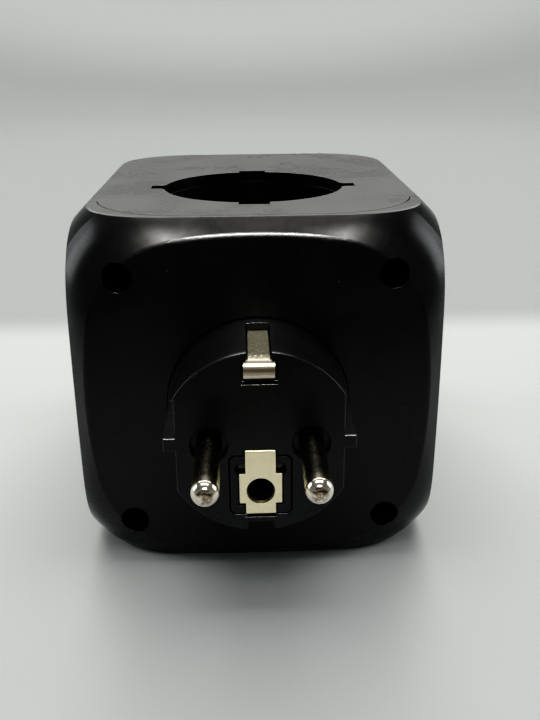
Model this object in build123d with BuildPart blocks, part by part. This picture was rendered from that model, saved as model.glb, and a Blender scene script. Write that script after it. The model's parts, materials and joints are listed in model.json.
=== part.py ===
from build123d import *
import os
from math import hypot, sqrt

# Cube-shaped mains adapter: a hybrid earthed plug on one face and five earthed sockets on the others.
# Frame: +Z up, the plug points along -Y, X across. The origin is under the middle of the whole
# adapter, on the plane it rests on. All sizes are in millimetres.

# ---- Case ----
width = 76.0
body_depth = 96.0
wall = 2.5
bevel = 2.9
corner_round = 25.5
crease_round = 0.6
rim_round = 1.6
seam_gap = 0.25
tongue_half = 33.4
tongue_round = 19.9
seam_depth = 21.0

# ---- Plug ----
pin_pitch = 19.0
pin_radius = 2.4
pin_length = 19.0
boss_radius = 18.45
boss_height = 18.7
boss_flat = 15.75
rib_reach = 18.0
rib_height = 2.75

# ---- Sockets ----
recess_depth = 17.5
mouth_radius = 20.4
cup_radius = 19.9
floor_radius = 19.2
cup_outer = 21.2
floor_thickness = 1.7
clip_slot = 6.5
clip_reach = 22.5
guide_slot = 3.6
guide_reach = 23.4
guide_flare = 1.6
socket_setback = 38.0

# ---- Worked out ----
half = width / 2
axis_z = half
total_depth = body_depth + boss_height + pin_length
face_y = -total_depth / 2 + boss_height + pin_length
mid_y = face_y + body_depth / 2
far_y = face_y + body_depth
pin_x = pin_pitch / 2
cup_top = half - wall
floor_top = half - recess_depth
floor_under = floor_top - floor_thickness
centre = (0, mid_y, axis_z)
beyond = 1.0
outside = 25.0

# A cut runs past a surface by "beyond", and a big one reaches "outside".

# Local Z leaves the plug face towards the plug; local X is X and local Y is up.
plug_plane = Plane(origin=(0, face_y, axis_z), x_dir=(1, 0, 0), z_dir=(0, -1, 0))

# Each socket's plane sits on the case's axis: local Z leaves the mouth, local X runs along the pins.
side_y = face_y + socket_setback
socket_planes = {
    "top": Plane(origin=(0, side_y, axis_z), x_dir=(1, 0, 0), z_dir=(0, 0, 1)),
    "bottom": Plane(origin=(0, side_y, axis_z), x_dir=(1, 0, 0), z_dir=(0, 0, -1)),
    "right": Plane(origin=(0, side_y, axis_z), x_dir=(0, 1, 0), z_dir=(1, 0, 0)),
    "left": Plane(origin=(0, side_y, axis_z), x_dir=(0, 1, 0), z_dir=(-1, 0, 0)),
    "far": Plane(origin=(0, far_y - half, axis_z), x_dir=(1, 0, 0), z_dir=(0, 1, 0)),
}

os.makedirs("parts", exist_ok=True)


def save(piece, name):
    piece.part.label = name
    export_step(piece.part, f"parts/{name}.step")


def block(x_range, y_range, z_range, mode=Mode.ADD, plane=Plane.XY):
    """A box between two values on each of the plane's axes."""
    with BuildSketch(plane.offset(z_range[0])) as outline:
        with Locations(((x_range[0] + x_range[1]) / 2, (y_range[0] + y_range[1]) / 2)):
            Rectangle(x_range[1] - x_range[0], y_range[1] - y_range[0])
    extrude(outline.sketch, amount=z_range[1] - z_range[0], mode=mode)


def rod(radius, z_range, plane, at=(0, 0), mode=Mode.ADD):
    """A round bar along the plane's normal."""
    with BuildSketch(plane.offset(z_range[0])) as outline:
        with Locations(at):
            Circle(radius)
    extrude(outline.sketch, amount=z_range[1] - z_range[0], mode=mode)


# ---- Case: one rounded block, hollowed, then parted at the seam ----


def bulged_square(plane, reach, diagonal, radius):
    """A rounded square with gently bulged sides, tangent to its corner arcs.

    reach is the half width at the middle of a side and diagonal the reach at a corner.
    """
    corner = (diagonal - radius) / sqrt(2)
    side_radius = (corner**2 + (reach - corner) ** 2 - radius**2) / (2 * (reach - corner - radius))
    drop = reach - side_radius
    span = hypot(corner, corner - drop)
    end = (side_radius * corner / span, drop + side_radius * (corner - drop) / span)
    tip = diagonal / sqrt(2)
    with BuildSketch(plane) as outline:
        with BuildLine():
            for turn in range(4):
                quarter = Plane.XY.rotated((0, 0, -90 * turn))
                points = [quarter.from_local_coords(Vector(x, y, 0)) for x, y in (
                    (-end[0], end[1]), (0, reach), end, (tip, tip), (end[1], end[0]))]
                ThreePointArc(points[0], points[1], points[2])
                ThreePointArc(points[2], points[3], points[4])
        make_face()
    return outline.sketch


# One eighth of the block: three bevel planes meet at a point, rounded into a ball-shaped corner.
point = tuple(c + s for c, s in zip(centre, (half - bevel / 2, body_depth / 2 - bevel / 2, half - bevel / 2)))
with BuildPart() as case_block:
    with Locations(centre):
        Box(4 * width, 4 * width, 4 * width)
    for facing in ((1, 0, 1), (1, 1, 0), (0, 1, 1)):
        split(bisect_by=Plane(origin=point, z_dir=facing), keep=Keep.BOTTOM)
    bevel_joints = [
        edge for edge in case_block.edges()
        if any((Vector(*end) - Vector(*point)).length < 0.01 for end in edge.vertices())
    ]
    fillet(bevel_joints, corner_round)
    with Locations(centre):
        Box(half, body_depth / 2, half, align=(Align.MIN, Align.MIN, Align.MIN), mode=Mode.INTERSECT)
    mirror(about=Plane(origin=centre, z_dir=(1, 0, 0)))
    mirror(about=Plane(origin=centre, z_dir=(0, 1, 0)))
    mirror(about=Plane(origin=centre, z_dir=(0, 0, 1)))

# The plug face has a rounder outline than the others, so the shoulder behind it swells outwards.
# Each row is a depth behind the face, the reach at a corner and that corner's radius.
shoulder = ((0, 39.7, 20.0), (1.45, 42.6, 19.8), (2.9, 44.8, 20.0), (6.0, 47.7, 21.0), (10.0, 50.2, 24.0))
with BuildPart() as shoulder_form:
    loft([bulged_square(plug_plane.offset(-depth), half - bevel + depth, diagonal, radius)
          for depth, diagonal, radius in shoulder])
with BuildPart() as shoulder_waste:
    block((-width, width), (-width, width), (-shoulder[-1][0], beyond), plane=plug_plane)
    add(shoulder_form.part, mode=Mode.SUBTRACT)


def flat_outlines(form):
    """The outlines of the block's flat faces, apart from the plug face's."""
    edges = []
    for axis in (Axis.X, Axis.Y, Axis.Z):
        flats = form.faces().filter_by(axis).sort_by(axis)
        edges += flats[-1].edges()
        if axis is not Axis.Y:
            edges += flats[0].edges()
    return edges


with BuildPart() as outer_form:
    add(case_block.part)
    add(shoulder_waste.part, mode=Mode.SUBTRACT)
    plug_face = outer_form.faces().filter_by(Axis.Y).sort_by(Axis.Y)[0]
    fillet(plug_face.edges(), rim_round)
    fillet(flat_outlines(outer_form), crease_round)

# The hollow: narrower behind each end face, then straight, with the socket cups fitted against it.
hollow_rows = ((wall, 65.0, 16.0), (6.0, 71.0, 15.0), (18.0, 71.0, 6.0))
with BuildPart() as hollow:
    for flipped in (False, True):
        rows = []
        for depth, size, radius in hollow_rows:
            with BuildSketch(plug_plane.offset(depth - body_depth if flipped else -depth)) as outline:
                RectangleRounded(size, size, radius)
            rows.append(outline.sketch)
        loft(rows, ruled=True)
    inner_depth = hollow_rows[-1][0]
    with BuildSketch(plug_plane.offset(-inner_depth)) as outline:
        RectangleRounded(hollow_rows[-1][1], hollow_rows[-1][1], hollow_rows[-1][2])
    extrude(outline.sketch, amount=-(body_depth - 2 * inner_depth))


def cut_mouth(plane):
    """The mouth of a socket: a circle with two wide slots for the earth clips and two flared guides."""
    with BuildSketch(plane.offset(cup_top - beyond)) as outline:
        Circle(mouth_radius)
        Rectangle(2 * guide_reach, guide_slot)
        fillet(outline.vertices().filter_by(lambda v: hypot(v.X, v.Y) < mouth_radius + 0.01), guide_flare)
        Rectangle(clip_slot, 2 * clip_reach)
    extrude(outline.sketch, amount=half - cup_top + 2 * beyond, mode=Mode.SUBTRACT)


def seam_region(margin):
    """What belongs to the socket case: everything behind the seam and a tongue on each side face."""
    with BuildPart() as region:
        block((-width, width), (-width, width), (-body_depth - beyond, -seam_depth + margin),
              plane=plug_plane)
        for outward in ((0, 0, 1), (0, 0, -1), (1, 0, 0), (-1, 0, 0)):
            across = Vector(0, 1, 0).cross(Vector(outward))
            side = Plane(origin=(0, side_y, axis_z), x_dir=across, z_dir=outward)
            tongue = 2 * (tongue_half + margin)
            with BuildSketch(side.offset(half - 2 * wall)) as outline:
                RectangleRounded(tongue, tongue, tongue_round + margin)
            extrude(outline.sketch, amount=3 * wall)
    return region.part


# ---- Screws: heads sink into tubes behind the plug face and bite into posts of the socket case ----
screw_spacing = 54.0
screw_head_radius = 2.75
screw_head_height = 2.2
screw_radius = 1.45
screw_tip_depth = 30.0
screw_gap = 0.2
thread_gap = 0.05
cross_half = 1.6
cross_width = 0.8
cross_depth = 1.3
counterbore_radius = 3.0
counterbore_depth = 12.0
tube_radius = 4.4
tube_depth = 14.0
post_radius = 3.6
post_depth = 34.0
post_rib_reach = 9.0
post_rib_half = 0.8
screw_offsets = (-screw_spacing / 2, screw_spacing / 2)
screw_points = [(x, y) for x in screw_offsets for y in screw_offsets]


def screw_circles(radius, z_range, mode=Mode.ADD):
    for at in screw_points:
        rod(radius, z_range, plug_plane, at=at, mode=mode)


with BuildPart() as plug_case:
    add(outer_form.part)
    add(hollow.part, mode=Mode.SUBTRACT)
    add(seam_region(seam_gap), mode=Mode.SUBTRACT)
    screw_circles(tube_radius, (-tube_depth, -wall))
    screw_circles(counterbore_radius, (-counterbore_depth, beyond), Mode.SUBTRACT)
    screw_circles(screw_radius + screw_gap, (-tube_depth - beyond, -counterbore_depth), Mode.SUBTRACT)
    rod(boss_radius + seam_gap, (-wall - beyond, beyond), plug_plane, mode=Mode.SUBTRACT)
save(plug_case, "plug_case")

with BuildPart() as socket_case:
    add(outer_form.part)
    add(hollow.part, mode=Mode.SUBTRACT)
    add(seam_region(0), mode=Mode.INTERSECT)
    for plane in socket_planes.values():
        cut_mouth(plane)
    screw_circles(post_radius, (-post_depth, -tube_depth))
    for x, y in screw_points:
        rib_x = sorted((x, x + post_rib_reach * (1 if x > 0 else -1)))
        rib_y = (y - post_rib_half, y + post_rib_half)
        block(rib_x, rib_y, (-post_depth, -seam_depth - 2 * seam_gap), plane=plug_plane)
    screw_circles(screw_radius + thread_gap, (-post_depth + beyond, -tube_depth + beyond), Mode.SUBTRACT)
save(socket_case, "socket_case")

with BuildPart() as case_screws:
    head_top = -counterbore_depth + screw_head_height
    screw_circles(screw_head_radius, (-counterbore_depth, head_top))
    screw_circles(screw_radius, (-screw_tip_depth, -counterbore_depth))
    for x, y in screw_points:
        for long, short in ((cross_half, cross_width / 2), (cross_width / 2, cross_half)):
            block((x - long, x + long), (y - short, y + short), (head_top - cross_depth, head_top + beyond),
                  Mode.SUBTRACT, plug_plane)
save(case_screws, "case_screws")

# ---- Plug boss ----
boss_root = 1.5
flange_radius = 21.5
flange_thickness = 2.0
pin_pocket_radius = 3.6
pin_pocket_depth = 1.6
face_round = 0.4
rib_middle = 0.2
pin_tail_radius = 2.0
groove_half = 2.3
groove_floor = 16.2
groove_start = 3.0
tunnel_height = 0.8
tunnel = (-5.0, groove_start + 0.5)
bend_relief = (15.5, 16.4)
clip_pocket_half = 3.36
clip_pocket_low = 12.0
clip_pocket_high = 16.75
clip_pocket_depth = 1.6
insert_half = 6.0
insert_low = -14.8
insert_high = -2.2
insert_round = 1.3
insert_depth = 14.0
notch_half = 2.5
notch_floor = 16.4
plate_recess = 0.9
plate_narrow = 2.85
plate_seat_y = (-15.4, -1.1)
leg_half = 2.2
leg_slot_z = (11.4, 12.4)
slot_gap = 0.3

with BuildPart() as plug_body:
    rod(boss_radius, (-wall, boss_height), plug_plane)
    rod(flange_radius, (-wall - flange_thickness, -wall), plug_plane)
    for side in (-1, 1):
        flat = sorted((side * boss_flat, side * outside))
        block(flat, (-outside, outside), (boss_root, boss_height + beyond), Mode.SUBTRACT, plug_plane)
        rib = sorted((side * (boss_flat - beyond), side * rib_reach))
        rib_y = (rib_middle - rib_height / 2, rib_middle + rib_height / 2)
        block(rib, rib_y, (boss_root / 2, boss_height), plane=plug_plane)
    front_face = plug_body.faces().filter_by(Axis.Y).sort_by(Axis.Y)[0]
    fillet(front_face.edges(), face_round)
    for side in (-1, 1):
        rod(pin_pocket_radius, (boss_height - pin_pocket_depth, boss_height + beyond), plug_plane,
            at=(side * pin_x, 0), mode=Mode.SUBTRACT)
        rod(pin_tail_radius, (-wall - flange_thickness - beyond, boss_height), plug_plane,
            at=(side * pin_x, 0), mode=Mode.SUBTRACT)
    # Groove and pocket of the upper earth clip, and the tunnel its strip enters the case by.
    groove = (-groove_half, groove_half)
    past_front = boss_height + beyond
    block(groove, (groove_floor, outside), (groove_start, past_front), Mode.SUBTRACT, plug_plane)
    block(groove, (groove_floor, groove_floor + tunnel_height), tunnel, Mode.SUBTRACT, plug_plane)
    block(groove, (bend_relief[0], groove_floor + tunnel_height), (bend_relief[1], past_front),
          Mode.SUBTRACT, plug_plane)
    block((-clip_pocket_half, clip_pocket_half), (clip_pocket_low, clip_pocket_high),
          (boss_height - clip_pocket_depth, past_front), Mode.SUBTRACT, plug_plane)
    # Notch of the lower earth clip, and its tunnel.
    block((-notch_half, notch_half), (-outside, -notch_floor), (groove_start, past_front),
          Mode.SUBTRACT, plug_plane)
    block((-notch_half, notch_half), (-notch_floor - tunnel_height, -notch_floor), tunnel,
          Mode.SUBTRACT, plug_plane)
    # Seat of the earth plate beyond its insert, and the slots its lower leg bends through.
    leg_slot = (-leg_half - slot_gap, leg_half + slot_gap)
    block((-plate_narrow - slot_gap, plate_narrow + slot_gap), plate_seat_y,
          (boss_height - plate_recess, past_front), Mode.SUBTRACT, plug_plane)
    block(leg_slot, (plate_seat_y[0], insert_low), (leg_slot_z[0], boss_height), Mode.SUBTRACT, plug_plane)
    block(leg_slot, (-notch_floor - tunnel_height, insert_low), leg_slot_z, Mode.SUBTRACT, plug_plane)
    # Well of the earth contact's insert.
    with BuildSketch(plug_plane.offset(boss_height - insert_depth)) as outline:
        with Locations((0, (insert_low + insert_high) / 2)):
            RectangleRounded(2 * insert_half, insert_high - insert_low, insert_round)
    extrude(outline.sketch, amount=insert_depth + beyond, mode=Mode.SUBTRACT)
save(plug_body, "plug_body")

# ---- Plug pins: the part in the boss is thinner, so the pin's shoulder stands in its pocket ----
pin_tip_round = 1.9
pin_tail = -6.0
for name, side in (("live_pin", 1), ("neutral_pin", -1)):
    with BuildPart() as pin:
        rod(pin_radius, (boss_height - pin_pocket_depth, boss_height + pin_length), plug_plane,
            at=(side * pin_x, 0))
        tip = pin.faces().filter_by(Axis.Y).sort_by(Axis.Y)[0]
        fillet(tip.edges(), pin_tip_round)
        rod(pin_tail_radius, (pin_tail, boss_height - pin_pocket_depth), plug_plane, at=(side * pin_x, 0))
    save(pin, name)

# ---- Earth insert, its contact tube and the two earth clips ----
earth_hole = (0, -9.95)
earth_hole_radius = 2.7
tube_inner = 2.45
tube_outer = 3.0
plate_thickness = 0.6
insert_gap = 0.3
relief_radius = 1.45
relief_depth = 1.8
relief_at = (3.4, -5.2)
fold_round = 0.45
leg_y = (-15.1, -14.62)
leg_z = (11.6, 12.2)
strip_thickness = 0.53
strip_end = 17.6
plate_wide = 4.03
plate_rows = ((-15.1, -12.55, plate_narrow), (-12.55, -6.3, plate_wide), (-6.3, -1.3, plate_narrow))

with BuildPart() as earth_insert:
    with BuildSketch(plug_plane.offset(boss_height - insert_depth)) as outline:
        with Locations((0, (insert_low + insert_high) / 2)):
            RectangleRounded(2 * (insert_half - insert_gap), insert_high - insert_low - 2 * insert_gap,
                             insert_round - insert_gap)
    extrude(outline.sketch, amount=insert_depth)
    plate_seat = (boss_height - plate_recess, boss_height + beyond)
    for low, high, wide in plate_rows:
        block((-wide - slot_gap, wide + slot_gap), (low - slot_gap, high + slot_gap), plate_seat,
              Mode.SUBTRACT, plug_plane)
    for side in (-1, 1):
        rod(relief_radius, (boss_height - relief_depth, boss_height + beyond), plug_plane,
            at=(side * relief_at[0], relief_at[1]), mode=Mode.SUBTRACT)
    rod(tube_outer, (boss_height - insert_depth - beyond, boss_height + beyond), plug_plane, at=earth_hole,
        mode=Mode.SUBTRACT)
save(earth_insert, "earth_insert")

with BuildPart() as earth_tube:
    rod(tube_outer, (boss_height - insert_depth, boss_height - plate_recess), plug_plane, at=earth_hole)
    rod(tube_inner, (boss_height - insert_depth + beyond, boss_height), plug_plane, at=earth_hole,
        mode=Mode.SUBTRACT)
save(earth_tube, "earth_tube")

plate_top = boss_height - plate_recess + plate_thickness
frame_front = -13.2
with BuildPart() as lower_earth_clip:
    for low, high, wide in plate_rows:
        block((-wide, wide), (low, high), (boss_height - plate_recess, plate_top), plane=plug_plane)
    folds = lower_earth_clip.edges().filter_by(Axis.X).group_by(Axis.Y)[0].sort_by(Axis.Z)
    fillet([folds[0], folds[-1]], fold_round)
    rod(earth_hole_radius, (boss_height - 2 * beyond, boss_height + beyond), plug_plane, at=earth_hole,
        mode=Mode.SUBTRACT)
    leg = (-leg_half, leg_half)
    strip_y = (-notch_floor - strip_thickness - 0.02, -notch_floor - 0.02)
    block(leg, leg_y, (leg_z[0], boss_height - plate_recess + 0.1), plane=plug_plane)
    block(leg, (strip_y[0], leg_y[1]), leg_z, plane=plug_plane)
    block(leg, strip_y, (frame_front, strip_end), plane=plug_plane)
save(lower_earth_clip, "lower_earth_clip")

# The upper clip: a strip lying in the boss's groove, bent over its rim into a bowed tab.
# A point is the height over the plug's middle, then the distance from the plug face.
strip_low = 16.25
strip_high = 16.85
strip_half = 2.0
bend_start = 15.8
bend = ((16.72, 17.1), (16.3, 18.0), (15.75, 17.7), (16.12, 16.9))
tab_half = 2.87
tab_front = ((16.4, 17.95), (14.5, 18.95), (12.4, 17.8))
tab_back = ((12.4, 17.2), (14.5, 18.3), (16.4, 17.3))


def side_profile(plane, x):
    """The plane across a socket or the plug: its X runs along the first plane's Y, its Y along Z."""
    return Plane(origin=plane.from_local_coords((x, 0, 0)), x_dir=plane.y_dir, z_dir=plane.x_dir)


with BuildPart() as upper_earth_clip:
    with BuildSketch(side_profile(plug_plane, -strip_half)) as outline:
        with BuildLine():
            Line((strip_low, frame_front), (strip_high, frame_front))
            Line((strip_high, frame_front), (strip_high, bend_start))
            ThreePointArc((strip_high, bend_start), bend[0], bend[1])
            Line(bend[1], bend[2])
            ThreePointArc(bend[2], bend[3], (strip_low, bend_start))
            Line((strip_low, bend_start), (strip_low, frame_front))
        make_face()
    extrude(outline.sketch, amount=2 * strip_half)
    with BuildSketch(side_profile(plug_plane, -tab_half)) as outline:
        with BuildLine():
            ThreePointArc(*tab_front)
            Line(tab_front[-1], tab_back[0])
            ThreePointArc(*tab_back)
            Line(tab_back[-1], tab_front[0])
        make_face()
    extrude(outline.sketch, amount=2 * tab_half)
save(upper_earth_clip, "upper_earth_clip")

# ---- Sockets: five alike. Heights are measured from the case's axis out along each socket ----
flange_cup_radius = 24.5
flange_cup_thickness = 2.0
cup_bevel = 2.6
recess_round = 2.0
pin_hole_radius = 2.75
slot_floor = 25.5
guide_floor = 29.5
slot_wall = 1.4
slot_end_wall = 1.2
side_lip = 0.25
lip = 0.5
strap_half = 2.9
strap_low = 17.6
strap_high = 18.4
arm_reach = 18.2
arm_slot_in = 1.0
arm_slot_gap = 0.4
plate_low = 12.3
plate_high = 13.4
shutter_low = 13.55
shutter_high = 18.6
shutter_half = 3.2
ramp_x = (6.1, 12.7)
bridge_half = 1.2
bridge_high = 16.2
spring_seat = 11.5
spring_height = 15.0
spring_seat_half = 2.4
spring_seat_top = 17.0
spring_gap = 0.02
wire_radius = 0.2
coil_radius = 1.15
coil_turns = 8
ramp_toe = 0.55
ramp_crest = 0.6
tray_half = 12.1
tray_low = -11.6
tray_wall_start = 3.4
wall_near = (-5.0, -4.0)
wall_away = (9.6, 10.6)
contact_low = 3.0
contact_thickness = 0.6
leaf_x = (6.4, 11.9)
leaf_inner = 2.1
leaf_outer = 2.7
link_half = 2.0
link_reach = 24.0
link_y = (-9.0, -6.0)


def make_cup(plane):
    """The round well a plug sits in, with its flange under the case wall and slots for the earth clips."""
    across = side_profile(plane, 0)
    turning_axis = Axis(plane.origin, plane.z_dir)
    with BuildPart() as cup:
        with BuildSketch(across) as outline:
            with BuildLine():
                Polyline((0, floor_under), (cup_outer - cup_bevel, floor_under),
                         (cup_outer, floor_under + cup_bevel), (cup_outer, cup_top - flange_cup_thickness),
                         (flange_cup_radius, cup_top - flange_cup_thickness), (flange_cup_radius, cup_top),
                         (0, cup_top), close=True)
            make_face()
        revolve(outline.sketch, axis=turning_axis)
        clip_half = clip_slot / 2 - side_lip
        clip_end = clip_reach - lip
        guide_half = guide_slot / 2 - side_lip
        guide_end = guide_reach - lip
        pocket_x = clip_half + slot_wall
        pocket_y = clip_end + slot_end_wall
        block((-pocket_x, pocket_x), (-pocket_y, pocket_y), (slot_floor - slot_end_wall, cup_top), plane=plane)
        pocket_x = guide_end + slot_end_wall
        pocket_y = guide_half + slot_wall
        block((-pocket_x, pocket_x), (-pocket_y, pocket_y), (guide_floor - slot_end_wall, cup_top), plane=plane)
        with BuildSketch(across) as outline:
            with BuildLine():
                Polyline((0, floor_top), (floor_radius, floor_top), (cup_radius, cup_top + beyond),
                         (0, cup_top + beyond), close=True)
            make_face()
            fillet(outline.vertices().sort_by_distance((floor_radius, floor_top))[0], recess_round)
        revolve(outline.sketch, axis=turning_axis, mode=Mode.SUBTRACT)
        block((-clip_half, clip_half), (-clip_end, clip_end), (slot_floor, cup_top + beyond),
              Mode.SUBTRACT, plane)
        block((-guide_end, guide_end), (-guide_half, guide_half), (guide_floor, cup_top + beyond),
              Mode.SUBTRACT, plane)
        floor_cut = (floor_under - beyond, floor_top + beyond)
        slot_half = strap_half + arm_slot_gap
        for side in (-1, 1):
            rod(pin_hole_radius, floor_cut, plane, at=(side * pin_x, 0), mode=Mode.SUBTRACT)
            slot = sorted((side * (arm_reach - arm_slot_in), side * (arm_reach + arm_slot_gap)))
            block((-slot_half, slot_half), slot, floor_cut, Mode.SUBTRACT, plane)
    return cup


def make_carrier(plane):
    """The tray under a cup: it guides the shutter and holds the contacts."""
    with BuildPart() as carrier:
        block((-tray_half, tray_half), (tray_low, tray_half), (plate_low, plate_high), plane=plane)
        for side in (-1, 1):
            rod(pin_hole_radius, (plate_low - beyond, plate_high + beyond), plane, at=(side * pin_x, 0),
                mode=Mode.SUBTRACT)
            for across in (wall_near, wall_away):
                block(sorted((side * tray_wall_start, side * tray_half)), across, (plate_high, floor_under),
                      plane=plane)
        block((-spring_seat_half, spring_seat_half), (spring_seat, tray_half), (plate_high, spring_seat_top),
              plane=plane)
    return carrier


def make_shutter(plane):
    """Two ramps under the pin holes, joined by a bridge. Two pins pressed in together push it aside."""
    with BuildPart() as shutter:
        for start in (-ramp_x[1], ramp_x[0]):
            with BuildSketch(side_profile(plane, start)) as outline:
                with BuildLine():
                    Polyline((-shutter_half, shutter_low), (shutter_half, shutter_low),
                             (shutter_half, shutter_high), (shutter_half - ramp_crest, shutter_high),
                             (-shutter_half, shutter_low + ramp_toe), close=True)
                make_face()
            extrude(outline.sketch, amount=ramp_x[1] - ramp_x[0])
        block((-ramp_x[0] - 0.1, ramp_x[0] + 0.1), (-bridge_half, bridge_half), (shutter_low, bridge_high),
              plane=plane)
    return shutter


def make_spring(plane):
    """The coil that pushes the shutter back over the pin holes."""
    start = plane.from_local_coords((0, bridge_half + wire_radius + spring_gap, spring_height))
    length = spring_seat - bridge_half - 2 * wire_radius - 2 * spring_gap
    with BuildPart() as spring:
        with BuildLine() as path:
            Helix(pitch=length / coil_turns, height=length, radius=coil_radius, center=start,
                  direction=plane.y_dir)
        with BuildSketch(Plane(origin=path.line @ 0, z_dir=path.line % 0)) as outline:
            Circle(wire_radius)
        sweep(outline.sketch, path=path.line, is_frenet=True)
    return spring


def make_contact(plane, side):
    """A folded channel whose two leaves grip a pin."""
    leaf = sorted((side * leaf_x[0], side * leaf_x[1]))
    web = sorted((side * leaf_x[0], side * (leaf_x[0] + contact_thickness)))
    with BuildPart() as contact:
        for across in ((-leaf_outer, -leaf_inner), (leaf_inner, leaf_outer)):
            block(leaf, across, (contact_low, plate_low), plane=plane)
        block(web, (-leaf_outer, leaf_outer), (contact_low, plate_low), plane=plane)
    return contact


def make_strap(plane, name):
    """The earth strap: a bar under the cup's floor with an arm up each side, bowed to press on the plug."""
    arm = ((18.2, strap_low), (18.2, 21.5), (17.2, 24.8), (17.8, 26.6), (20.2, 27.6),
           (20.0, 28.3), (17.2, 27.2), (16.5, 24.8), (17.5, 21.5), (17.5, strap_low))
    with BuildPart() as strap:
        block((-strap_half, strap_half), (-arm_reach, arm_reach), (strap_low, strap_high), plane=plane)
        for side in (-1, 1):
            with BuildSketch(side_profile(plane, -strap_half)) as outline:
                with BuildLine():
                    Polyline(*[(side * x, y) for x, y in arm], close=True)
                make_face()
            extrude(outline.sketch, amount=2 * strap_half)
        if name in ("top", "bottom"):
            forward = sorted((plane.y_dir.Y * -link_reach, plane.y_dir.Y * -arm_reach))
            block((-link_half, link_half), forward, (strap_low, strap_high), plane=plane)
        elif name != "far":
            block((-link_reach, -strap_half + seam_gap), link_y, (strap_low, strap_high), plane=plane)
    return strap


for name, plane in socket_planes.items():
    save(make_cup(plane), f"{name}_socket_cup")
    save(make_carrier(plane), f"{name}_contact_carrier")
    save(make_shutter(plane), f"{name}_shutter")
    save(make_spring(plane), f"{name}_shutter_spring")
    save(make_contact(plane, 1), f"{name}_live_contact")
    save(make_contact(plane, -1), f"{name}_neutral_contact")
    save(make_strap(plane, name), f"{name}_earth_strap")

# ---- Busbars: flat strips between the contacts. Each box is X, Z from the axis, and depth ----
bar_x = (8.0, 11.0)
bar_thickness = 0.8
tail_depth = (6.0, 6.8)
edge_z = (4.7, 5.5)
cross_z = (-0.4, 0.4)
cross_x = 6.0
far_overlap = (1.0, 2.0)
leaf_face = socket_setback - leaf_outer
web_face = socket_setback + leaf_x[0]
side_web = socket_setback - leaf_x[0]
neutral_rise = leaf_face + 7.3
far_leaf_depth = body_depth - half + contact_low
far_end = far_leaf_depth + far_overlap[1]


def bar(x_range, z_range, depth_range):
    block(x_range, z_range, (-depth_range[1], -depth_range[0]), plane=plug_plane)


with BuildPart() as live_busbar:
    leaf_bar = (leaf_face - bar_thickness, leaf_face)
    web_bar = (web_face - 1.0, web_face)
    bar(bar_x, (-pin_tail_radius, edge_z[1]), tail_depth)
    bar(bar_x, edge_z, (tail_depth[0], leaf_face))
    bar(bar_x, (-edge_z[1], edge_z[1]), leaf_bar)
    bar(bar_x, cross_z, (leaf_bar[0], web_face))
    bar((-cross_x, bar_x[1]), cross_z, web_bar)
    bar(bar_x, (cross_z[0], edge_z[1]), web_bar)
    bar(bar_x, edge_z, (web_bar[0], far_end))
    bar(bar_x, (leaf_outer, edge_z[1]), (far_leaf_depth + far_overlap[0], far_end))
save(live_busbar, "live_busbar")

with BuildPart() as neutral_busbar:
    back_x = (-bar_x[1], -bar_x[0])
    low_edge_z = (-edge_z[1], -edge_z[0])
    rise_bar = (neutral_rise - bar_thickness, neutral_rise)
    bar(back_x, (-edge_z[1], pin_tail_radius), tail_depth)
    bar(back_x, low_edge_z, (tail_depth[0], leaf_face))
    bar(back_x, (-edge_z[1], edge_z[1]), (leaf_face - bar_thickness, leaf_face))
    bar(back_x, cross_z, (side_web, neutral_rise))
    bar((-bar_x[1], cross_x), cross_z, (side_web, side_web + bar_thickness))
    bar(back_x, (-edge_z[1], cross_z[1]), rise_bar)
    bar(back_x, low_edge_z, (rise_bar[0], far_end))
    bar(back_x, (-edge_z[1], -leaf_outer), (far_leaf_depth + far_overlap[0], far_end))
save(neutral_busbar, "neutral_busbar")

# The earth frame: a square ring round the plug's inner end, and a strip to the far socket's strap.
ring_outer = 18.4
ring_inner = 15.5
strip_x = (22.0, 24.2)
strip_edge_z = (21.5, 22.3)
foot_z = (14.5, 17.5)
with BuildPart() as earth_frame:
    ring = (-frame_front, -frame_front + bar_thickness)
    far_strap = body_depth - half + strap_low
    far_bar = (far_strap, far_strap + bar_thickness)
    bar((-ring_outer, ring_outer), (-ring_outer, ring_outer), ring)
    block((-ring_inner, ring_inner), (-ring_inner, ring_inner), (-ring[1] - beyond, -ring[0] + beyond),
          Mode.SUBTRACT, plug_plane)
    bar((ring_inner + seam_gap, strip_x[1]), (ring_inner, strip_edge_z[1]), ring)
    bar(strip_x, strip_edge_z, (ring[0], far_bar[1]))
    bar(strip_x, (foot_z[0], strip_edge_z[1]), far_bar)
    bar((strap_half, strip_x[1]), foot_z, far_bar)
save(earth_frame, "earth_frame")
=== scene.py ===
"""Cube-shaped mains adapter with a hybrid earthed plug.

Finishes, shutter springs, floor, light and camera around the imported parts.
"""

import json
import math

import bpy
import bmesh
from mathutils import Matrix, Vector


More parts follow.
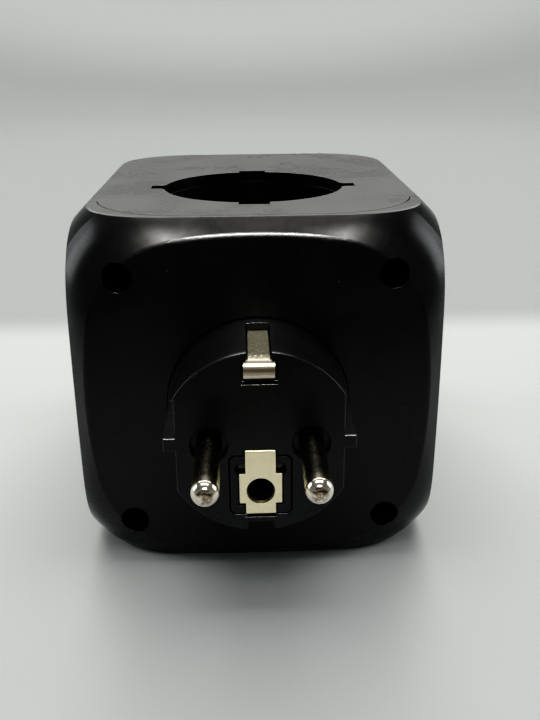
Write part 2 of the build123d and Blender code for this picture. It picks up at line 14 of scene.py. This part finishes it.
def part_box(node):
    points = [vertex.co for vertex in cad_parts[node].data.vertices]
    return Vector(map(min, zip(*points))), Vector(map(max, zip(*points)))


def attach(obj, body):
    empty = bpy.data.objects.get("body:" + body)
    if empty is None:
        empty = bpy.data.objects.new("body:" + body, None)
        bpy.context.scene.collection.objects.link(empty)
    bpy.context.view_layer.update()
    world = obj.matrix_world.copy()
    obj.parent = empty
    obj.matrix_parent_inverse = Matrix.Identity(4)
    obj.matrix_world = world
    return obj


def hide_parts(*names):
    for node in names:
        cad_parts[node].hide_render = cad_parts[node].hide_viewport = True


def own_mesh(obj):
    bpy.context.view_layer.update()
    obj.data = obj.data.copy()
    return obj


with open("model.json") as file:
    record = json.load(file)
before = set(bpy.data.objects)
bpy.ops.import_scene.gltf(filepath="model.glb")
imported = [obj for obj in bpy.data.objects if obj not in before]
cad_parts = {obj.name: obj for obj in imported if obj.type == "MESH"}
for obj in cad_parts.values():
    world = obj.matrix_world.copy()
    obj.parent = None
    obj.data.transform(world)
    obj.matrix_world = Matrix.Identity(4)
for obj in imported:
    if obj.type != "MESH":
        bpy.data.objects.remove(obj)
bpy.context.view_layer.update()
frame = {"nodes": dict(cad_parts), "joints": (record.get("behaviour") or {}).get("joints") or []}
nodes = frame["nodes"]

MM = 0.001


# ---------------------------------------------------------------- shader building


class Wire:
    """One output socket. Python's operators on it add Math nodes."""

    def __init__(self, paint, socket):
        self.paint = paint
        self.socket = socket

    def calc(self, operation, *values):
        return self.paint.node(
            "ShaderNodeMath", {"operation": operation}, dict(enumerate(values))
        )

    def __add__(self, other):
        return self.calc("ADD", self, other)

    def __radd__(self, other):
        return self.calc("ADD", other, self)

    def __sub__(self, other):
        return self.calc("SUBTRACT", self, other)

    def __rsub__(self, other):
        return self.calc("SUBTRACT", other, self)

    def __mul__(self, other):
        return self.calc("MULTIPLY", self, other)

    def __rmul__(self, other):
        return self.calc("MULTIPLY", other, self)

    def __truediv__(self, other):
        return self.calc("DIVIDE", self, other)

    def __rtruediv__(self, other):
        return self.calc("DIVIDE", other, self)

    def __pow__(self, other):
        return self.calc("POWER", self, other)

    def __lt__(self, other):
        return self.calc("LESS_THAN", self, other)

    def step(self, start, end, low=0.0, high=1.0):
        """Goes smoothly from low at start to high at end."""
        return self.paint.node(
            "ShaderNodeMapRange",
            {"interpolation_type": "SMOOTHSTEP"},
            {0: self, 1: start, 2: end, 3: low, 4: high},
        )


class Paint:
    """One material. node() adds every node: type, settings, then socket values or links.

    mm holds the place on the part in millimetres, and x, y and z are its coordinates.
    """

    def __init__(self, name):
        self.material = bpy.data.materials.new(name)
        self.material.use_nodes = True
        self.tree = self.material.node_tree
        self.tree.nodes.clear()
        place = self.node("ShaderNodeTexCoord", output="Object")
        self.mm = self.node(
            "ShaderNodeVectorMath", {"operation": "SCALE"}, {0: place, "Scale": 1000.0}
        )
        axes = self.node("ShaderNodeSeparateXYZ", {}, {0: self.mm}).socket.node
        self.x, self.y, self.z = (Wire(self, axis) for axis in axes.outputs)

    def node(self, kind, settings=None, inputs=None, output=0):
        made = self.tree.nodes.new(kind)
        for key, value in (settings or {}).items():
            setattr(made, key, value)
        for key, value in (inputs or {}).items():
            if isinstance(value, Wire):
                self.tree.links.new(value.socket, made.inputs[key])
            else:
                made.inputs[key].default_value = value
        return Wire(self, made.outputs[output]) if made.outputs else None

    def noise(self, per_mm, detail=2.0, roughness=0.5, at=None, distortion=0.0):
        return self.node(
            "ShaderNodeTexNoise",
            {},
            {
                "Vector": at or self.mm,
                "Scale": per_mm,
                "Detail": detail,
                "Roughness": roughness,
                "Distortion": distortion,
            },
        )

    def cells(self, per_mm, output="Distance"):
        return self.node(
            "ShaderNodeTexVoronoi",
            {"feature": "F1"},
            {"Vector": self.mm, "Scale": per_mm},
            output,
        )

    def stretched(self, x, y, z):
        """Coordinates in mm, stretched along the axes, for brushed or drawn marks."""
        return self.node(
            "ShaderNodeVectorMath", {"operation": "MULTIPLY"}, {0: self.mm, 1: (x, y, z)}
        )

    def blend(self, factor, first, second):
        """From first to second by a factor. A Mix node's inputs 6 and 7 are its colours."""
        first, second = (
            colour if isinstance(colour, Wire) else (*colour, 1.0) for colour in (first, second)
        )
        return self.node(
            "ShaderNodeMix",
            {"data_type": "RGBA", "clamp_factor": True},
            {0: factor, 6: first, 7: second},
            output=2,
        )

    def specks(self, per_mm, share, size):
        """Scattered round specks: in that share of the cells, up to size of a cell across."""
        colour = self.cells(per_mm, output="Color")
        chance = self.node("ShaderNodeSeparateColor", {}, {0: colour})
        distance = self.cells(per_mm)
        return (chance < share) * (distance < chance * (size / share))

    def worn_edge(self, radius):
        """The normal with every edge rounded by that radius in mm."""
        return self.node("ShaderNodeBevel", {"samples": 6}, {"Radius": radius * MM})

    def bump(self, height, strength, depth, normal=None):
        inputs = {"Height": height, "Strength": strength, "Distance": depth * MM}
        if normal is not None:
            inputs["Normal"] = normal
        return self.node("ShaderNodeBump", {}, inputs)

    def finish(self, colour, roughness, normal, metallic=0.0, **fixed):
        inputs = {
            "Base Color": colour,
            "Roughness": roughness,
            "Normal": normal,
            "Metallic": metallic,
        }
        for key, value in fixed.items():
            inputs[key.replace("_", " ")] = value
        shader = self.node("ShaderNodeBsdfPrincipled", {}, inputs)
        self.node("ShaderNodeOutputMaterial", {}, {"Surface": shader})
        return self.material


# ---------------------------------------------------------------- finishes

DUST_CELLS_PER_MM = 0.33
DUST_SIZE = 0.05
DUST_COVER = 0.5
DUST_GREY = (0.32, 0.32, 0.33)
METAL_EDGE = 0.12


def moulded(
    name, colour, pale, rough, rough_spread, grain, grain_depth, edge, dust=0.0, level=0.3
):
    """Moulded plastic: spark-eroded grain, handling patches, flow marks, edges and dust.

    grain is in grains per mm, grain_depth and edge in mm; dust is the share of cells with a
    speck, and level the strength of the gloss.
    """
    p = Paint(name)
    patches = p.noise(0.07, 3.0, 0.6).step(0.35, 0.65)
    flow = p.noise(0.5, 4.0, 0.6, distortion=0.6)
    grain_height = p.noise(grain, 2.0, 0.5) + 0.2 * p.noise(grain * 2.7, 2.0, 0.5)
    shade = p.blend(patches * 0.55 + flow * 0.3, colour, pale)
    if dust:
        specks = p.specks(DUST_CELLS_PER_MM, dust, DUST_SIZE)
        shade = p.blend(specks * DUST_COVER, shade, DUST_GREY)
    roughness = rough + rough_spread * (patches - 0.5) + 0.06 * (flow - 0.5)
    normal = p.bump(grain_height, 1.0, grain_depth, p.worn_edge(edge))
    return p.finish(shade, roughness, normal, Specular_IOR_Level=level)


def plated(name, colour, tarnish, rough, drawn, scratch, age):
    """Plating or bare metal: drawn lines, fine scratches of that depth and a patchy dull film."""
    p = Paint(name)
    lines = p.noise(9.0, 2.0, 0.6, at=p.stretched(*drawn))
    film = p.noise(0.8, 4.0, 0.65).step(0.45, 0.75)
    pits = p.noise(5.0, 2.0, 0.5).step(0.62, 0.75)
    shade = p.blend(film * age + pits * 0.12, colour, tarnish)
    roughness = rough + 0.10 * film + 0.08 * lines + 0.08 * pits
    normal = p.bump(lines + 0.4 * pits, 1.0, scratch, p.worn_edge(METAL_EDGE))
    return p.finish(shade, roughness, normal, 1.0)


def worn_pin(name, root_y, tip_y):
    """Bright nickel at the tip, a brown painted reflection on its nose, and a dark film behind
    it.
    """
    p = Paint(name)
    along = p.y.step(tip_y + 3.0, root_y - 3.0)
    behind_tip = p.y.step(tip_y + 2.2, tip_y + 4.2)
    mottle = p.noise(1.1, 5.0, 0.7, distortion=0.8)
    fine = p.noise(4.5, 3.0, 0.6)
    mottled = (mottle * 0.6 + fine * 0.4 + along * 0.2).step(0.45, 0.60)
    film = (0.72 + 0.28 * mottled) * behind_tip
    rub = p.noise(7.0, 2.0, 0.6, at=p.stretched(1.0, 0.12, 1.0))
    shade = p.blend(film, (0.78, 0.73, 0.62), (0.02, 0.018, 0.012))
    # Painted reflection: the front of the tip is painted brown where a dark shape in front would
    # reflect in it.
    painted_reflection_on_nose = p.y.step(tip_y + 0.12, tip_y + 0.34, 1.0, 0.0) * mottle.step(0.40, 0.58)
    shade = p.blend(painted_reflection_on_nose * 0.85, shade, (0.12, 0.07, 0.045))
    roughness = 0.11 + 0.10 * film + 0.06 * rub + 0.05 * fine
    height = rub * 0.6 + mottle * along + 0.3 * fine
    normal = p.bump(height, 1.0, 0.006, p.worn_edge(METAL_EDGE))
    return p.finish(shade, roughness, normal, 1.0)


def rolled_clip(name, front_y, tab_low, tab_high):
    """Galvanised strip: a crystalline film on the flat, bright over the bend, and a brown band
    across the tab that is a painted reflection.
    """
    p = Paint(name)
    flat = p.y.step(front_y + 1.2, front_y + 2.4)
    crystals = p.cells(2.0) * 0.7 + p.noise(2.4, 3.0, 0.7) * 0.7
    film = crystals.step(0.52, 0.64)
    height = (p.z - tab_low) / (tab_high - tab_low) + 0.06 * p.noise(1.5, 2.0, 0.6)
    # The brown band across the tab is a painted reflection of a dark shape in front, and its
    # strength varies with the rubbed marks.
    painted_reflection_band = height.step(0.30, 0.38) * height.step(0.62, 0.70, 1.0, 0.0) * (1.0 - flat)
    rubbed = p.noise(2.0, 3.0, 0.6, at=p.stretched(0.25, 1.0, 4.0))
    shade = p.blend(film * flat * 0.75, (0.72, 0.66, 0.53), (0.12, 0.12, 0.08))
    # Painting the brown reflection band onto the tab.
    shade = p.blend(painted_reflection_band * (0.45 + 0.30 * rubbed), shade, (0.13, 0.08, 0.055))
    roughness = 0.20 + 0.32 * flat * film + 0.10 * painted_reflection_band + 0.06 * rubbed
    normal = p.bump(crystals * flat + 0.08 * rubbed, 1.0, 0.03, p.worn_edge(METAL_EDGE))
    return p.finish(shade, roughness, normal, 1.0)


def coil_steel(name):
    """Spring wire with lengthwise drawing marks."""
    p = Paint(name)
    wire_marks = p.noise(6.0, 3.0, 0.6, at=p.stretched(1.0, 1.0, 0.3))
    shade = p.blend(wire_marks.step(0.4, 0.7) * 0.5, (0.52, 0.53, 0.55), (0.30, 0.31, 0.33))
    return p.finish(shade, 0.22 + 0.2 * wire_marks, p.bump(wire_marks, 1.0, 0.004), 1.0)


pin_low, pin_high = (Vector(corner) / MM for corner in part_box("live_pin"))
clip_low, clip_high = (Vector(corner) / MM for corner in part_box("upper_earth_clip"))

recipes = {
    # The earth tube's metal is painted near black: painted shade for the deep hole it lines.
    "tube_dark": (
        plated,
        dict(
            colour=(0.10, 0.09, 0.07),
            tarnish=(0.03, 0.028, 0.02),
            rough=0.34,
            drawn=(1.0, 0.2, 1.0),
            scratch=0.004,
            age=0.5,
        ),
    ),
    "case_black": (
        moulded,
        dict(
            colour=(0.005, 0.005, 0.0062),
            pale=(0.008, 0.008, 0.0105),
            rough=0.29,
            rough_spread=0.05,
            grain=1.9,
            grain_depth=0.006,
            edge=0.12,
            dust=0.3,
            level=0.34,
        ),
    ),
    "plug_black": (
        moulded,
        dict(
            colour=(0.008, 0.0088, 0.010),
            pale=(0.016, 0.0172, 0.019),
            rough=0.28,
            rough_spread=0.05,
            grain=1.8,
            grain_depth=0.005,
            edge=0.2,
            dust=0.5,
            level=0.32,
        ),
    ),
    "cup_black": (
        moulded,
        dict(
            colour=(0.0016, 0.0016, 0.0019),
            pale=(0.003, 0.003, 0.0036),
            rough=0.34,
            rough_spread=0.05,
            grain=2.2,
            grain_depth=0.008,
            edge=0.2,
            dust=0.1,
            level=0.22,
        ),
    ),
    "shutter_grey": (
        moulded,
        dict(
            colour=(0.16, 0.165, 0.17),
            pale=(0.21, 0.215, 0.225),
            rough=0.45,
            rough_spread=0.06,
            grain=2.0,
            grain_depth=0.006,
            edge=0.15,
        ),
    ),
    "inner_white": (
        moulded,
        dict(
            colour=(0.62, 0.62, 0.58),
            pale=(0.72, 0.71, 0.67),
            rough=0.48,
            rough_spread=0.06,
            grain=1.6,
            grain_depth=0.008,
            edge=0.15,
            level=0.5,
        ),
    ),
    "pin_nickel": (worn_pin, dict(root_y=pin_high.y, tip_y=pin_low.y)),
    "clip_nickel": (
        rolled_clip,
        dict(front_y=clip_low.y, tab_low=clip_low.z, tab_high=clip_high.z),
    ),
    "plate_nickel": (
        plated,
        dict(
            colour=(0.95, 0.87, 0.60),
            tarnish=(0.62, 0.55, 0.38),
            rough=0.26,
            drawn=(1.0, 1.0, 0.15),
            scratch=0.003,
            age=0.18,
        ),
    ),
    "strap_nickel": (
        plated,
        dict(
            colour=(0.80, 0.78, 0.72),
            tarnish=(0.42, 0.40, 0.34),
            rough=0.22,
            drawn=(0.2, 1.0, 1.0),
            scratch=0.003,
            age=0.3,
        ),
    ),
    # The screws are painted near black: painted shade for the deep counterbores they sit in.
    "screw_steel": (
        plated,
        dict(
            colour=(0.008, 0.008, 0.009),
            tarnish=(0.004, 0.004, 0.004),
            rough=0.5,
            drawn=(1.0, 1.0, 1.0),
            scratch=0.004,
            age=0.4,
        ),
    ),
    "spring_steel": (coil_steel, {}),
    "contact_brass": (
        plated,
        dict(
            colour=(0.78, 0.58, 0.27),
            tarnish=(0.42, 0.27, 0.12),
            rough=0.24,
            drawn=(1.0, 0.2, 1.0),
            scratch=0.003,
            age=0.35,
        ),
    ),
}
finishes = {name: make(name, **values) for name, (make, values) in recipes.items()}

for part in nodes.values():
    for place in part.material_slots:
        place.material = finishes[place.material.name.split(".")[0]]
# The earth tube gets the near-black finish, painted shade for its deep hole.
nodes["earth_tube"].material_slots[0].material = finishes["tube_dark"]


# ---------------------------------------------------------------- shutter springs


def closing_coil(side):
    """The coil behind a shutter: a copy of its spring, attached to the case in place of the
    hidden spring part.
    """
    node = nodes[f"{side}_shutter_spring"]
    slide = next(joint for joint in frame["joints"] if joint["name"] == f"{side}_shutter_slide")
    way = Vector(slide["axis"])
    low, high = (Vector(corner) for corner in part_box(f"{side}_shutter_spring"))
    length = abs((high - low).dot(way))
    travel = slide["range_m"][1]
    coil = bpy.data.objects.new(f"{side}_closing_coil", node.data.copy())
    bpy.context.scene.collection.objects.link(coil)
    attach(coil, "case")
    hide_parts(f"{side}_shutter_spring")
    (length - travel) / length
    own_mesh(coil)


for side in ("top", "bottom", "right", "left", "far"):
    closing_coil(side)


# ---------------------------------------------------------------- floor and backdrop

FLOOR_RADIUS = 1.5
SWEEP = 0.5
WALL = 1.4
TURNS = 96

# These are in mm, like Paint's coordinates.
TABLE_EDGE = (118.0, 150.0)
# Painted light on the wall: paler far behind, and darker higher up.
WALL_PAINTED_LIGHTER = (1150.0, 1400.0)
UPPER_WALL_PAINTED_SHADE = (185.0, 260.0)
OUTER_FLOOR = (420.0, 800.0)


def lathe_stage(name, outline):
    """A surface of revolution about the object's own upright axis, from its middle outwards."""
    mesh = bpy.data.meshes.new(name)
    made = bmesh.new()
    angles = [2 * math.pi * i / TURNS for i in range(TURNS)]
    rings = []
    for radius, height in outline:
        around = angles if radius else [0.0]
        rings.append(
            [made.verts.new((radius * math.cos(a), radius * math.sin(a), height)) for a in around]
        )
    for inner, outer in zip(rings, rings[1:]):
        for i in range(TURNS):
            j = (i + 1) % TURNS
            if len(inner) == 1:
                made.faces.new((inner[0], outer[i], outer[j]))
            else:
                made.faces.new((inner[i], outer[i], outer[j], inner[j]))
    made.to_mesh(mesh)
    made.free()
    for face in mesh.polygons:
        face.use_smooth = True
    thing = bpy.data.objects.new(name, mesh)
    bpy.context.scene.collection.objects.link(thing)
    return thing


def floor_finish():
    """A pale table with a greyer floor and wall behind it; the wall is painted paler far behind,
    where less light reaches it, and painted darker higher up as painted shade.
    """
    p = Paint("pale_table")
    haze = p.noise(0.012, 3.0, 0.5)
    table = p.blend(haze * 0.35, (0.69, 0.716, 0.71), (0.64, 0.664, 0.656))
    # Painted light: the far wall is painted paler, and the wall higher up painted darker as
    # painted shade.
    wall = p.blend(p.y.step(*WALL_PAINTED_LIGHTER), (0.42, 0.442, 0.438), (0.80, 0.83, 0.82))
    wall = p.blend(p.z.step(*UPPER_WALL_PAINTED_SHADE), wall, (0.30, 0.315, 0.31))
    reach = (p.x * p.x + p.y * p.y) ** 0.5
    shade = p.blend(p.y.step(*TABLE_EDGE), table, wall)
    shade = p.blend(reach.step(*OUTER_FLOOR), shade, wall)
    grain = p.noise(1.2, 3.0, 0.6)
    normal = p.bump(grain, 0.4, 0.01)
    return p.finish(shade, 0.42 + 0.06 * grain, normal, Specular_IOR_Level=0.35)


sweep_points = [
    (
        FLOOR_RADIUS - SWEEP + SWEEP * math.sin(math.radians(a)),
        SWEEP - SWEEP * math.cos(math.radians(a)),
    )
    for a in range(10, 91, 10)
]
flat_points = [(0, 0), (0.12, 0), (0.4, 0), (FLOOR_RADIUS - SWEEP, 0)]
backdrop = lathe_stage("sweep_backdrop", [*flat_points, *sweep_points, (FLOOR_RADIUS, WALL)])
backdrop.data.materials.append(floor_finish())


# ---------------------------------------------------------------- light

WARM = (1.0, 0.98, 0.94)
COOL = (0.97, 0.99, 1.0)
ROOM = (0.93, 0.96, 1.0, 1.0)
ROOM_STRENGTH = 0.11
# Colours of the reflection-only cards: a brown painted reflection of a dark shape in front, and
# painted shade over the table in front of the plug.
REFLECTION_BROWN_NEAR, REFLECTION_BROWN_FAR = (0.07, 0.04, 0.03), (0.05, 0.03, 0.025)
TABLE_SHADE_NEAR, TABLE_SHADE_FAR = (0.54, 0.51, 0.45), (0.055, 0.036, 0.026)


def aim_at(thing, place, target):
    thing.location = place
    direction = Vector(target) - Vector(place)
    thing.rotation_euler = direction.to_track_quat("-Z", "Y").to_euler()


def panel(name, place, target, size, power, colour, lights_table=True):
    """A soft rectangular light. One that doesn't light the table only puts a shine on things."""
    data = bpy.data.lights.new(name, "AREA")
    data.shape = "RECTANGLE"
    data.size, data.size_y = size
    data.energy = power
    data.color = colour
    lamp = bpy.data.objects.new(name, data)
    aim_at(lamp, place, target)
    lamp.visible_camera = False
    lamp.visible_diffuse = lights_table
    bpy.context.scene.collection.objects.link(lamp)
    return lamp


def table_spot(name, place, target, power, spread):
    """A soft round pool of light on the table in front of the plug."""
    data = bpy.data.lights.new(name, "SPOT")
    data.energy = power
    data.spot_size = math.radians(spread)
    data.spot_blend = 1.0
    data.shadow_soft_size = 0.12
    lamp = bpy.data.objects.new(name, data)
    aim_at(lamp, place, target)
    lamp.visible_camera = False
    lamp.visible_glossy = False
    bpy.context.scene.collection.objects.link(lamp)


def shade_card(name, place, target, size, near, far):
    """A dull card that only shows in reflections, where it paints dark reflections on the
    adapter: near at its end by the adapter, else far.
    """
    mesh = bpy.data.meshes.new(name)
    made = bmesh.new()
    bmesh.ops.create_grid(made, x_segments=4, y_segments=8, size=0.5)
    for corner in made.verts:
        corner.co.x *= size[0]
        corner.co.y *= size[1]
    made.to_mesh(mesh)
    made.free()
    card = bpy.data.objects.new(name, mesh)
    aim_at(card, place, target)
    card.visible_camera = False
    card.visible_diffuse = False
    card.visible_shadow = False
    bpy.context.scene.collection.objects.link(card)
    p = Paint(name)
    half = size[1] / MM / 2
    fade = p.y.step(half * 0.8, half, 1.0, 0.0) + 0.2 * p.noise(0.02, 2.0, 0.5)
    tone = p.blend(fade, near, far)
    card.data.materials.append(p.finish(tone, 0.8, p.bump(p.noise(0.5), 0.2, 0.05)))


panel("back_panel", (0.0, 1.0, 0.80), (0.0, 0.1, 0.0), (1.5, 0.7), 9.0, WARM)
panel("ceiling_panel", (0.0, 0.02, 1.05), (0.0, 0.0, 0.0), (0.9, 0.40), 3.8, WARM)
for name, side in (("left_panel", -1), ("right_panel", 1)):
    panel(name, (side * 1.15, 0.25, 0.45), (0.0, 0.0, 0.05), (0.7, 0.7), 3.0, COOL)
panel("low_back_panel", (0.0, 1.1, 0.52), (0.0, 0.0, 0.07), (1.5, 0.20), 0.7, WARM, False)

# The front lamps only shine. The strong ones draw the bright lines along the rims of the
# black front shell and boss, and leave the bare metal to the weak one.
plug_rim = (0.0, -0.03, 0.06)
panel("metal_glint_lamp", (0.0, -0.68, 0.65), plug_rim, (0.34, 0.04), 3.4, WARM, False)
rim_lamps = [
    panel("high_rim_lamp", (0.0, -0.60, 0.68), plug_rim, (0.34, 0.04), 15.0, WARM, False),
    panel("low_rim_lamp", (0.0, -0.86, 0.46), plug_rim, (0.36, 0.03), 1.5, WARM, False),
]
front_plastics = bpy.data.collections.new("front_plastics")
for name in ("plug_case", "plug_body"):
    front_plastics.objects.link(nodes[name])
for lamp in rim_lamps:
    lamp.light_linking.receiver_collection = front_plastics

table_spot("table_pool", (0.0, -0.42, 0.55), (0.0, -0.2, 0.0), 1.7, 34.0)
# Cards seen only in reflections: a painted brown reflection in front of the plug, and painted
# shade over the table in front of it.
shade_card(
    "dark_reflection_card", (0.0, -0.20, 0.095), (0.0, -0.06, 0.035), (0.13, 0.055), REFLECTION_BROWN_NEAR, REFLECTION_BROWN_FAR
)
shade_card(
    "table_shade_reflection_card",
    (0.0, -0.525, 0.003),
    (0.0, -0.525, -1.0),
    (1.4, 0.80),
    TABLE_SHADE_NEAR,
    TABLE_SHADE_FAR,
)

world = bpy.data.worlds.new("soft_room")
world.use_nodes = True
background = world.node_tree.nodes["Background"]
background.inputs["Color"].default_value = ROOM
background.inputs["Strength"].default_value = ROOM_STRENGTH
bpy.context.scene.world = world


# ---------------------------------------------------------------- camera

CAMERA_PLACE = (-0.00178, -0.18727, 0.10871)
CAMERA_PITCH = math.radians(-21.17)
CAMERA_YAW = math.radians(-1.54)
CAMERA_ROLL = math.radians(-0.58)
LENS_MM = 42.115
SENSOR_MM = 36.0
NEAREST, FARTHEST = 0.01, 20.0

turn = Matrix.Rotation(CAMERA_YAW, 3, "Z") @ Matrix.Rotation(CAMERA_PITCH, 3, "X")
right, ahead, up = (turn.col[i].copy() for i in range(3))
tilted_right = math.cos(CAMERA_ROLL) * right + math.sin(CAMERA_ROLL) * up
tilted_up = math.cos(CAMERA_ROLL) * up - math.sin(CAMERA_ROLL) * right

camera_data = bpy.data.cameras.new("camera")
camera_data.lens = LENS_MM
camera_data.sensor_width = SENSOR_MM
camera_data.sensor_fit = "AUTO"
camera_data.clip_start = NEAREST
camera_data.clip_end = FARTHEST
camera = bpy.data.objects.new("camera", camera_data)
rows = [[tilted_right[i], tilted_up[i], -ahead[i], CAMERA_PLACE[i]] for i in range(3)]
camera.matrix_world = Matrix([*rows, [0.0, 0.0, 0.0, 1.0]])
bpy.context.scene.collection.objects.link(camera)
bpy.context.scene.camera = camera

# Light in and light out: deep blacks under a straight middle.
TONES = ((0.012, 0.0027), (0.03, 0.0120), (0.06, 0.041), (0.12, 0.115), (0.3, 0.3))
COMBINED_CURVE = 3
view = bpy.context.scene.view_settings
view.view_transform = "Standard"
view.exposure = 0.27
view.use_curve_mapping = True
tone_curve = view.curve_mapping.curves[COMBINED_CURVE]
for light_in, light_out in TONES:
    tone_curve.points.new(light_in, light_out)
view.curve_mapping.update()
